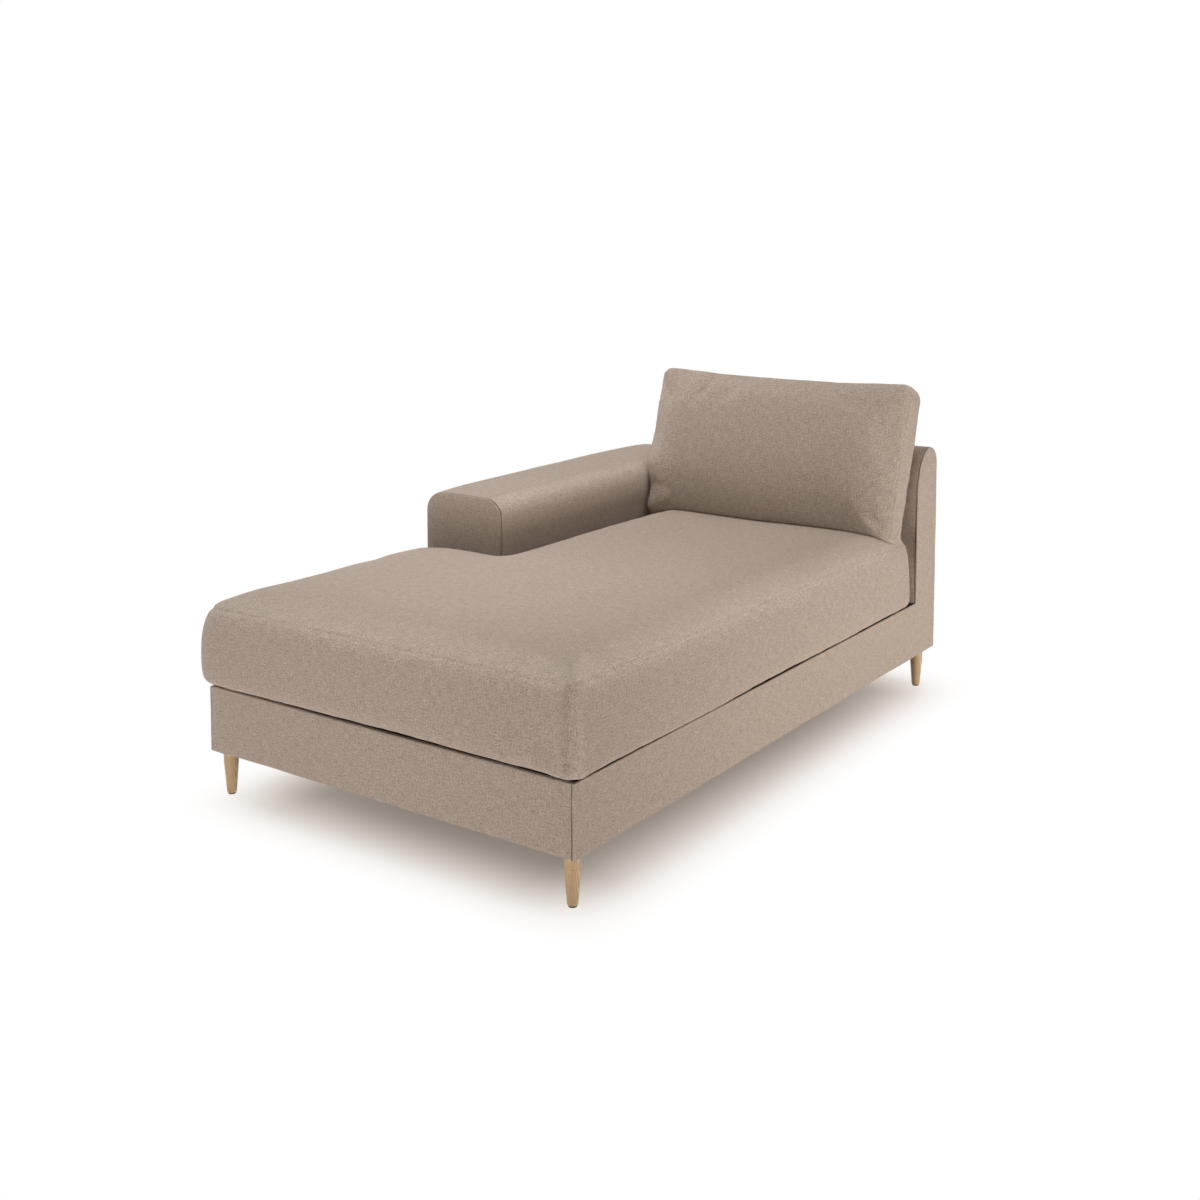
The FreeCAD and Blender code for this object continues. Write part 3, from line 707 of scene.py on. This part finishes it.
def shape_cushion(bm, thick, wall, low_cap, high_cap, firmness=lambda place: 1.0):
    """Swells a cushion block. The wall table gives how far in it stands at each share of its height. The
    cap tables give each panel's rise at each distance from the outline."""
    foot = [e for e in bm.edges if all(v.co.z < 1e-6 for v in e.verts)]
    rim = [e for e in foot if any(abs(f.normal.z) < 0.5 for f in e.link_faces)]
    segments = [tuple(numpy.array(v.co[:2]) for v in e.verts) for e in rim]
    spots = numpy.array([v.co[:] for v in bm.verts])
    distance, away, felt = outline_distance(spots[:, :2], segments, firmness)
    on_wall = distance < 2e-4
    bm.normal_update()
    wall_in = numpy.zeros((len(spots), 2))
    for i, v in enumerate(bm.verts):
        if on_wall[i]:
            flat = sum((f.normal for f in v.link_faces if abs(f.normal.z) < 0.5), Vector())
            flat.z = 0
            wall_in[i] = -numpy.array(flat.normalized()[:2])
    share = spots[:, 2] / thick
    inset = numpy.interp(share, *smooth_curve(wall))
    shift = numpy.where(on_wall[:, None], wall_in * inset[:, None], 0)
    for is_cap, table, sign in ((share < 1e-4, low_cap, -1), (share > 1 - 1e-4, high_cap, 1)):
        reach, heights = smooth_curve(table)
        edge_in = wall[0][1] if sign < 0 else wall[-1][1]
        carried = edge_in * numpy.exp(-distance / (2.2 * edge_in + 1e-6))
        inner = is_cap & ~on_wall
        shift[inner] = (away * carried[:, None])[inner]
        height = numpy.interp(felt, reach, heights)
        spots[:, 2] = numpy.where(is_cap, spots[:, 2] + sign * height, spots[:, 2])
    in_wall = on_wall & (share > 1e-4) & (share < 1 - 1e-4)
    spots[:, 2] = numpy.where(in_wall, spots[:, 2] - low_cap[0][1] * (1 - share) ** 4, spots[:, 2])
    spots[:, :2] += shift
    for v, spot in zip(bm.verts, spots):
        v.co = spot
    on_seam = on_wall & ((share < 1e-4) | (share > 1 - 1e-4))
    return [v for v, sewn in zip(bm.verts, on_seam) if sewn]


# %% [markdown]
# Drawing a cushion gives its size, but real stuffing pushes the cloth out wherever the seams let it. So
# the drawn form goes through a short cloth simulation: air pressure inside, no gravity, seams that want
# to be shorter, and the resting part held still. The result is kept only as a small move of each point.
# Then the stitched line is pulled in, small gathers are added beside it, and any point that has come
# too near to a neighbour goes back.

# %% Settling, seams and clearances
def settle(bm, seam_verts, held_verts, pressure, shrink, cap):
    """Blows a cushion up by a cloth simulation, with its seams drawn tight. The moves ease off, so that
    no point goes further than the cap from where it was."""
    bm.verts.index_update()
    mesh = bpy.data.meshes.new("stuffing")
    bm.to_mesh(mesh)
    trial = add_object("stuffing", mesh)
    for name, verts in (("seams", seam_verts), ("held", held_verts)):
        trial.vertex_groups.new(name=name).add([v.index for v in verts], 1.0, "REPLACE")
    cloth = trial.modifiers.new("cloth", "CLOTH")
    rules = cloth.settings
    rules.quality = 4
    rules.mass = 0.3
    rules.tension_stiffness = 14
    rules.compression_stiffness = 14
    rules.shear_stiffness = 5
    rules.bending_stiffness = 0.3
    rules.use_pressure = True
    rules.uniform_pressure_force = pressure
    rules.vertex_group_mass = "held"
    rules.vertex_group_shrink = "seams"
    rules.shrink_max = shrink
    rules.effector_weights.gravity = 0
    cloth.collision_settings.use_collision = False
    for step in range(1, 21):
        bpy.context.scene.frame_set(step)
    settled = trial.evaluated_get(bpy.context.evaluated_depsgraph_get()).data
    moves = [s.co - v.co for s, v in zip(settled.vertices, bm.verts)]
    for v, move in zip(bm.verts, moves):
        v.co += move * cap / (move.length + cap)
    bpy.data.objects.remove(trial)
    bpy.context.scene.frame_set(1)
    sizes = sorted(move.length for move in moves)
    middle, most = (round(size * 1000, 1) for size in (sizes[len(sizes) // 2], sizes[-1]))
    print("cloth moved half the points by over", middle, "mm, and one by", most, "mm")


def draw_in(bm, seam_verts, depth):
    """Pulls the stitched line in, which leaves the groove of a seam."""
    bm.normal_update()
    for v, normal in [(v, v.normal.copy()) for v in seam_verts]:
        v.co -= normal * depth


def pucker(bm, seam_verts, amount, reach, size):
    """Gathers the cloth a little beside its seams, as the thread does when it is drawn tight."""
    stitches = KDTree(len(seam_verts))
    for i, v in enumerate(seam_verts):
        stitches.insert(v.co, i)
    stitches.balance()
    bm.normal_update()
    moves = []
    for v in bm.verts:
        fade = max(1 - stitches.find(v.co)[2] / reach, 0)
        moves.append(v.normal * amount * fade * fade * noise.noise(v.co / size))
    for v, move in zip(bm.verts, moves):
        v.co += move


def push_out(bm, surface, gap):
    """Moves the points that are in or too near a surface back out to a small gap."""
    moved = []
    for v in bm.verts:
        spot, normal, _, _ = surface.find_nearest(v.co, 0.03)
        if spot is None:
            continue
        depth = (v.co - spot).dot(normal)
        if depth < gap and (v.co - spot).length < 0.025:
            v.co = spot + normal * gap
            moved.append(v)
    return moved


def keep_clear(bm, obstacles, gap):
    """Keeps a cushion out of its neighbours, and evens out the dents that they leave in it."""
    for obstacle in obstacles:
        other = bmesh.new()
        other.from_mesh(obstacle.data)
        surface = BVHTree.FromBMesh(other)
        other.free()
        moved = push_out(bm, surface, gap)
        dent = {near for v in moved for e in v.link_edges for near in e.verts}
        for _ in range(3):
            dent |= {near for v in dent for e in v.link_edges for near in e.verts}
        for _ in range(6):
            bmesh.ops.smooth_vert(
                bm, verts=sorted(dent, key=lambda v: v.index), factor=0.5,
                use_axis_x=True, use_axis_y=True, use_axis_z=True,
            )
        again = push_out(bm, surface, gap)
        print(obstacle.name, "moves", len(moved), "points, and", len(again), "after smoothing")


def smooth_once(piece):
    """Divides a finished piece once more, with rounder faces."""
    smoothing = piece.modifiers.new("smoothing", "SUBSURF")
    smoothing.levels = smoothing.render_levels = 1


# %% [markdown]
# The seat cushion is one long block with a notch for the arm. Its lower edge turns up a little, and it
# overhangs the base by two centimetres. On the open left side it bulges further, since nothing holds it.

# %% The seat cushion
seat_rest, seat_height = 0.2503, 0.202
seat_wall = [
    (0.0, 0.022), (0.015, 0.0135), (0.04, 0.0080), (0.08, 0.0035), (0.14, 0.0010), (0.3, 0.0), (0.5, 0.0),
    (0.68, 0.001), (0.84, 0.005), (0.93, 0.010), (1.0, 0.018),
]
seat_lift = 0.006
seat_low = [(0.0, -seat_lift), (0.02, -seat_lift), (0.035, -seat_lift / 2), (0.05, 0.0)]
seat_crown = 0.021
seat_high = [
    (0.0, 0.0), (0.012, 0.0065), (0.035, 0.0125), (0.075, 0.017), (0.13, 0.0195), (0.2, seat_crown),
]
seat_side = seat_height - seat_crown
seat = cushion_block(
    [(-0.520, -0.860), (0.520, -0.860), (0.520, 0.724), (-0.253, 0.724), (-0.253, -0.121), (-0.520, -0.121)],
    [0.048, 0.046, 0.095, 0.03, 0.008, 0.05], seat_side, 0.014,
    [0.015, 0.04, 0.08, 0.13, 0.2, 0.28, 0.36, 0.44, 0.52, 0.6, 0.68, 0.75, 0.8, 0.85, 0.9, 0.94, 0.975],
)


def seat_firmness(place):
    """Where the arm and the back hem the seat cushion in, its top stays full up to the edge."""
    in_notch = place[0] < -0.25 and place[1] > -0.125
    if in_notch or place[1] > 0.70:
        return 4.0
    return 1.0 + within((place[1] - 0.1) / 0.4) if place[0] > 0.5 else 1.0


def nearness(place, x, y, size):
    """One at a point of the plan, fading to nothing around it."""
    away = math.hypot(place.x - x, place.y - y) / size
    return math.exp(-away * away)


left_bulge, far_corner_drop, near_corner_drop = 0.022, 0.008, 0.0062
seat_seams = shape_cushion(seat, seat_side, seat_wall, seat_low, seat_high, seat_firmness)
seat_bulge = [(0.0, 0.0), (0.15, 0.7), (0.4, 1.0), (0.7, 0.9), (1.0, 0.6), (1.2, 0.5)]
bulge_heights, bulge_sizes = smooth_curve(seat_bulge)
for v in seat.verts:
    to_left = within((-0.36 - v.co.x) / 0.16)
    open_side = within((-0.12 - v.co.y) / 0.10)
    bulge = float(numpy.interp(v.co.z / seat_side, bulge_heights, bulge_sizes))
    v.co.x -= left_bulge * to_left * to_left * open_side * bulge
    v.co.z -= far_corner_drop * nearness(v.co, -0.53, -0.86, 0.08) * within((v.co.z / seat_side - 0.5) * 2)
    low = max(1 - 3 * v.co.z / seat_side, 0)
    v.co.z = max(v.co.z - near_corner_drop * nearness(v.co, 0.52, -0.86, 0.06) * low, 0)
bmesh.ops.translate(seat, verts=seat.verts[:], vec=(0, 0, seat_rest))
resting = [v for v in seat.verts if v.co.z < seat_rest + 0.022]
settle(seat, seat_seams, resting, pressure=1.2, shrink=0.012, cap=0.010)
draw_in(seat, seat_seams, depth=0.0020)
pucker(seat, seat_seams, amount=0.0030, reach=0.035, size=0.018)
soften(seat, amount=0.0035, size=0.30, seed=11)
soften(seat, amount=0.0008, size=0.07, seed=12)
for v in seat.verts:
    v.co.z = max(v.co.z, seat_rest)
seat.verts.index_update()
keep_clear(seat, [arm_wrap, bpy.data.objects["arm_front_panel_pad"], back_wrap], 0.0008)
seat = finish_piece(
    "seat_cushion_form", seat, "seat_cushion", "upholstery_cloth",
    ["seat_cushion_cover", "seat_cushion_core", "seat_cushion_topper"],
)
smooth_once(seat)

# %% [markdown]
# The back cushion is softer and leans on the back. It is drawn lying flat, with its width along x and its
# height along y, and then stood up and leaned. Its left end spills over the arm, and below the arm's top
# it is squeezed forward instead.

# %% The back cushion
cushion_wide, cushion_tall, cushion_thick = 0.746, 0.440, 0.150
cushion_side = 0.076
cushion_wall = [
    (0.0, 0.006), (0.08, 0.003), (0.3, 0.0005), (0.5, 0.0), (0.7, 0.0005), (0.92, 0.003), (1.0, 0.006),
]
cushion_cap = [
    (0.0, 0.0), (0.006, 0.0045), (0.015, 0.0092), (0.03, 0.0157), (0.06, 0.0243), (0.1, 0.0305),
    (0.16, 0.0350), (0.22, 0.0365),
]
lean = Matrix.Translation((-0.250, 0.6741, 0.39195)) @ Matrix.Rotation(math.radians(-18), 4, "X")
stood_up = lean @ Matrix.Rotation(quarter, 4, "X")
cushion = cushion_block(
    [(0, 0), (cushion_wide, 0), (cushion_wide, cushion_tall), (0, cushion_tall)],
    [0.040, 0.036, 0.036, 0.024], cushion_side, 0.0068,
    [0.05, 0.13, 0.23, 0.34, 0.45, 0.56, 0.67, 0.78, 0.88, 0.95],
)
most_spill, most_forward = 0.050, 0.042
cushion_seams = shape_cushion(cushion, cushion_side, cushion_wall, cushion_cap, cushion_cap)
for v in cushion.verts:
    across, height = within(v.co.x / cushion_wide), within(v.co.y / cushion_tall)
    v.co.y += (0.012 + 0.004 * (1 - across) - 0.007 * math.sin(math.pi * across)) * height ** 3
    spill = within((height - 0.20) / 0.20)
    v.co.x -= (0.004 + most_spill * spill * spill * (3 - 2 * spill)) * (1 - across) ** 2
    forward = within((0.58 - height) / 0.36)
    forward *= forward * (3 - 2 * forward) * math.exp(-(v.co.x / 0.05) ** 2)
    v.co.z += most_forward * forward * within(v.co.z / cushion_side)
bmesh.ops.translate(cushion, verts=cushion.verts[:], vec=(0, 0, (cushion_thick - cushion_side) / 2))
bmesh.ops.transform(cushion, verts=cushion.verts[:], matrix=stood_up)
foot = [v for v in cushion.verts if v.co.z < 0.46 and v.normal.z < -0.3]
settle(cushion, cushion_seams, foot, pressure=1.6, shrink=0.05, cap=0.009)
draw_in(cushion, cushion_seams, depth=0.0026)
pucker(cushion, cushion_seams, amount=0.0034, reach=0.022, size=0.010)
soften(cushion, amount=0.003, size=0.20, seed=13)
soften(cushion, amount=0.0007, size=0.05, seed=14)
cushion.verts.index_update()
keep_clear(cushion, [seat, back_wrap, arm_wrap], 0.0008)
cushion = finish_piece(
    "back_cushion_form", cushion, "back_cushion", "upholstery_cloth",
    ["back_cushion_cover", "back_cushion_core", "back_cushion_front_fibre", "back_cushion_rear_fibre"],
)
smooth_once(cushion)


# %% [markdown]
# Each cushion's cover closes with a zip across its rear, so that the cover comes off for washing. The
# tape is a flat grid that is laid onto the stuffed surface point by point, and then given a thickness.
# The teeth are small blocks on both sides of the middle line, and each one faces the way the cloth does.

# %% Zips
tape_half, tape_lift, tape_thick = 0.012, 0.0004, 0.0011
tooth_pitch, tooth_size = 0.0036, (0.0018, 0.0032, 0.0016)


def lay_zip(name, cushion_piece, start, end, across, body, replaced):
    """Lays a zip on a cushion, with its middle line near the run from start to end."""
    cloth = bmesh.new()
    cloth.from_mesh(cushion_piece.data)
    surface = BVHTree.FromBMesh(cloth)
    start, end, across = Vector(start), Vector(end), Vector(across).normalized()

    def on_cloth(share, sideways, lift):
        spot, normal, _, _ = surface.find_nearest(start.lerp(end, share) + across * sideways)
        return spot + normal * lift, normal

    bm = bmesh.new()
    bmesh.ops.create_grid(bm, x_segments=90, y_segments=4, size=1)
    for v in bm.verts:
        v.co = on_cloth((v.co.x + 1) / 2, v.co.y * tape_half, tape_lift + tape_thick)[0]
    bmesh.ops.recalc_face_normals(bm, faces=bm.faces[:])
    _, outward = on_cloth(0.5, 0, 0)
    if sum((f.normal for f in bm.faces), Vector()).dot(outward) < 0:
        bmesh.ops.reverse_faces(bm, faces=bm.faces[:])
    bmesh.ops.solidify(bm, geom=bm.faces[:], thickness=tape_thick)
    along = (end - start).normalized()
    count = int((end - start).length / tooth_pitch) - 4
    for i in range(count):
        side = 1 if i % 2 else -1
        spot, normal = on_cloth((i + 2.5) / (count + 4), side * 0.0008, tape_lift + tape_thick + 0.0006)
        turn = Matrix((along, normal.cross(along), normal)).transposed().to_4x4()
        block = Matrix.Translation(spot) @ turn @ Matrix.Diagonal((*tooth_size, 1))
        bmesh.ops.create_cube(bm, size=1, matrix=block)
    cloth.free()
    return finish_piece(name, bm, body, "zip_tape", replaced, smooth=False)


seat_middle, seat_half = (side_x + arm_x) / 2, (side_x - arm_x) * 0.35
seat_ends = [(seat_middle + side * seat_half, back_y, seat_rest + 0.097) for side in (-1, 1)]
lay_zip("seat_cushion_zip_closure", seat, *seat_ends, (0, 0, 1), "seat_cushion", ["seat_cushion_zip"])
zip_up = 0.087
rear_line = [stood_up @ Vector((share * cushion_wide, zip_up, 0)) for share in (0.25, 0.75)]
lay_zip(
    "back_cushion_zip_closure", cushion, *rear_line, stood_up.to_3x3() @ Vector((0, 1, 0)),
    "back_cushion", ["back_cushion_zip"],
)

# %% [markdown]
# The legs are turned, so they are spun here: half of the leg's outline goes once around its axis.

# %% Legs
leg_outline = [
    (0.0, 0.0025), (0.0078, 0.0025), (0.0099, 0.0034), (0.0108, 0.0055), (0.0160, 0.0700), (0.0165, 0.0735),
    (0.0161, 0.0740), (0.0165, 0.0745), (0.0165, 0.1020), (0.0155, 0.1030), (0.0, 0.1030),
]
leg_places = {"front_legs": -0.807, "rear_legs": 0.804}
leg_from_middle = 0.473
for name, leg_y in leg_places.items():
    legs = bmesh.new()
    for leg_x in (-leg_from_middle, leg_from_middle):
        verts = [legs.verts.new((leg_x + r, leg_y, z)) for r, z in leg_outline]
        edges = [legs.edges.new(pair) for pair in zip(verts, verts[1:])]
        bmesh.ops.spin(
            legs, geom=verts + edges, cent=(leg_x, leg_y, 0), axis=(0, 0, 1), angle=math.tau, steps=48,
            use_merge=True,
        )
    bmesh.ops.remove_doubles(legs, verts=legs.verts[:], dist=1e-6)
    legs = finish_piece("turned_" + name, legs, "frame", "leg_wood", [name])

# %% [markdown]
# A pale floor. Far from the object it is seen as plain white, though it gives off no light of its own.
# Near the object the white fades over a patch shaped like the footprint, where the real shadow shows
# with a painted warm shadow tint. This painted shadow patch lies a little to the right, as in the
# photograph.

# %% Floor
def background_rays(tree):
    """One where a ray comes from the camera, a mirror or glass, so that these show a white room."""
    ray = add_node(tree, "LightPath").outputs
    clear = maths(tree, "MAXIMUM", ray["Is Glossy Ray"], ray["Is Transmission Ray"])
    return maths(tree, "MAXIMUM", ray["Is Camera Ray"], clear)


floor_mesh = bpy.data.meshes.new("floor")
floor_bm = bmesh.new()
floor_half = 15
bmesh.ops.create_grid(floor_bm, x_segments=1, y_segments=1, size=floor_half)
floor_bm.to_mesh(floor_mesh)
floor_bm.free()
floor = add_object("floor", floor_mesh)
floor_material, tree, principled = shader(
    "floor", 0.9, Base_Color=(0.97, 0.915, 0.855, 1), Specular_IOR_Level=0.1
)
place = add_node(tree, "SeparateXYZ", add_node(tree, "TexCoord").outputs["Object"]).outputs
# Painted shadow patch: the white glow fades over the footprint, moved a little to the right, which sets
# where the shadow can be seen.
shaded = []
for out, middle, half in ((place[0], 0.03, side_x), (place[1], 0.0, rear_y)):
    from_middle = maths(tree, "ABSOLUTE", maths(tree, "SUBTRACT", out, middle))
    past_edge = maths(tree, "SUBTRACT", from_middle, half)
    ramp = remap(tree, past_edge, -0.20, 0.11, 1.0, 0.0)
    ramp.node.interpolation_type = "SMOOTHSTEP"
    shaded.append(ramp)
under = maths(tree, "MULTIPLY", *shaded)
far = remap(tree, under, 0.0, 1.0, 1.0, 0.19)
# The glow that stays under the object is tinted warm, a painted shadow colour.
painted_shadow_tint = blend_colours(tree, far, (1.0, 0.82, 0.66, 1), (1, 1, 1, 1))
seen = maths(tree, "MULTIPLY", far, background_rays(tree))
glow = add_node(tree, "Emission", painted_shadow_tint, 1.0).outputs[0]
mixed = add_node(tree, "MixShader", seen, principled.outputs[0], glow)
feed(tree, tree.nodes["Material Output"].inputs["Surface"], mixed.outputs[0])
floor_mesh.materials.append(floor_material)
print("floor:", 2 * floor_half, "m wide")

# %% [markdown]
# One large lamp overhead lights the tops. Low lamps from the front and the right bring the upright faces
# to nearly the same brightness, as a white studio floor would. The world adds an even, weak fill.

# %% World and lamps
world = bpy.data.worlds.new("room")
bpy.context.scene.world = world
world.use_nodes = True
tree = world.node_tree
background = tree.nodes["Background"]
background.inputs["Color"].default_value = (1.0, 0.99, 0.975, 1)
background.inputs["Strength"].default_value = 0.17
white = add_node(tree, "Background", (1, 1, 1, 1), 1.0).outputs[0]
mixed = add_node(tree, "MixShader", background_rays(tree), background.outputs[0], white)
feed(tree, tree.nodes["World Output"].inputs["Surface"], mixed.outputs[0])


def area_lamp(name, place, target, size, power, spread=180):
    """A soft square lamp that faces a point."""
    data = bpy.data.lights.new(name, "AREA")
    data.size = size
    data.energy = power
    data.spread = math.radians(spread)
    lamp = add_object(name, data)
    lamp.location = place
    lamp.rotation_euler = (Vector(target) - Vector(place)).to_track_quat("-Z", "Y").to_euler()


area_lamp("overhead", (-0.5, 0.3, 3.4), (0, 0, 0), 3.0, 92)
area_lamp("over_the_seat", (0.05, -0.50, 2.6), (0.05, -0.50, 0), 0.9, 2.2, 55)
area_lamp("low_right", (3.0, 0.5, 0.12), (0, 0.0, 0.2), 0.45, 70)
area_lamp("low_front", (0.3, -3.3, 0.12), (0, -0.8, 0.2), 0.45, 42)
area_lamp("low_left", (-3.2, -0.6, 0.8), (0, 0, 0.3), 0.8, 24)
area_lamp("behind", (-0.3, 3.4, 0.7), (0, 0.8, 0.3), 0.8, 30)
bpy.context.scene.view_settings.view_transform = "Standard"
print("lamps:", [lamp.name for lamp in bpy.data.lights])
